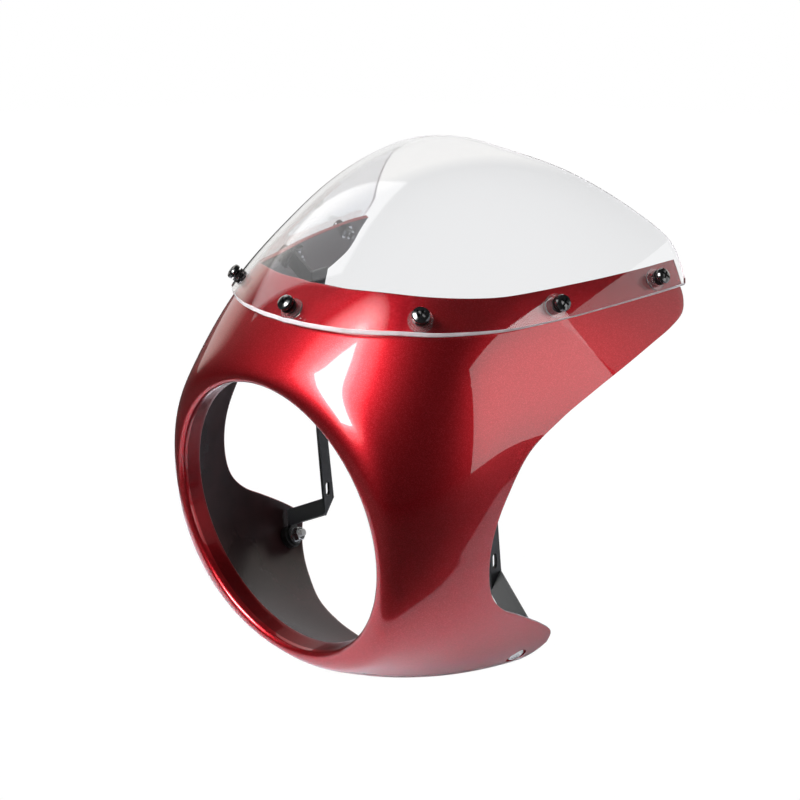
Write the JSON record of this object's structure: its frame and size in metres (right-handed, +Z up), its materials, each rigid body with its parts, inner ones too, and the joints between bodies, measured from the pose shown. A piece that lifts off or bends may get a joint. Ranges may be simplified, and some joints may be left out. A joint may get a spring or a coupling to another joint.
{
  "type": "headlight cowl",
  "caption": "Small motorbike fairing shell with a round headlight opening, a clear windscreen screwed to its top, and two bent steel brackets inside.",
  "frame": {"origin": "centre of the round headlight opening, in the plane of the foremost ridge of its lip", "axes": "+Z up, -Y forward out of the opening, +X to the side seen at the right from the front; the halves mirror each other in the plane X = 0"},
  "size_m": [0.2992, 0.2358, 0.3433],
  "materials": {
    "red_shell": "candy red metallic lacquer on moulded plastic, bare dark plastic inside",
    "clear_sheet": "clear moulded acrylic with polished edges",
    "black_screw": "gloss black coated steel",
    "black_nylon": "moulded black nylon, satin",
    "clear_washer": "soft clear silicone",
    "zinc": "zinc plated steel",
    "bright_bolt": "bright plated steel",
    "black_steel": "satin black powder coat on steel strip",
    "black_rubber": "moulded rubber"
  },
  "bodies": {
    "root": {"shell": "red_shell", "windscreen": "clear_sheet", "screen_screw_1": "black_screw", "screen_screw_2": "black_screw", "screen_screw_3": "black_screw", "screen_screw_4": "black_screw", "screen_screw_5": "black_screw", "screen_screw_6": "black_screw", "screen_screw_7": "black_screw", "shoulder_washer_1": "black_nylon", "shoulder_washer_2": "black_nylon", "shoulder_washer_3": "black_nylon", "shoulder_washer_4": "black_nylon", "shoulder_washer_5": "black_nylon", "shoulder_washer_6": "black_nylon", "shoulder_washer_7": "black_nylon", "spacer_1": "clear_washer", "spacer_2": "clear_washer", "spacer_3": "clear_washer", "spacer_4": "clear_washer", "spacer_5": "clear_washer", "spacer_6": "clear_washer", "spacer_7": "clear_washer", "flat_washer_1": "zinc", "flat_washer_2": "zinc", "flat_washer_3": "zinc", "flat_washer_4": "zinc", "flat_washer_5": "zinc", "flat_washer_6": "zinc", "flat_washer_7": "zinc", "screen_nut_1": "zinc", "screen_nut_2": "zinc", "screen_nut_3": "zinc", "screen_nut_4": "zinc", "screen_nut_5": "zinc", "screen_nut_6": "zinc", "screen_nut_7": "zinc", "bracket_left": "black_steel", "bracket_right": "black_steel", "wing_bolt_left": "bright_bolt", "wing_bolt_right": "bright_bolt", "wing_grommet_left": "black_rubber", "wing_grommet_right": "black_rubber", "wing_washer_left": "zinc", "wing_washer_right": "zinc", "wing_nut_left": "zinc", "wing_nut_right": "zinc"}
  },
  "joints": []
}
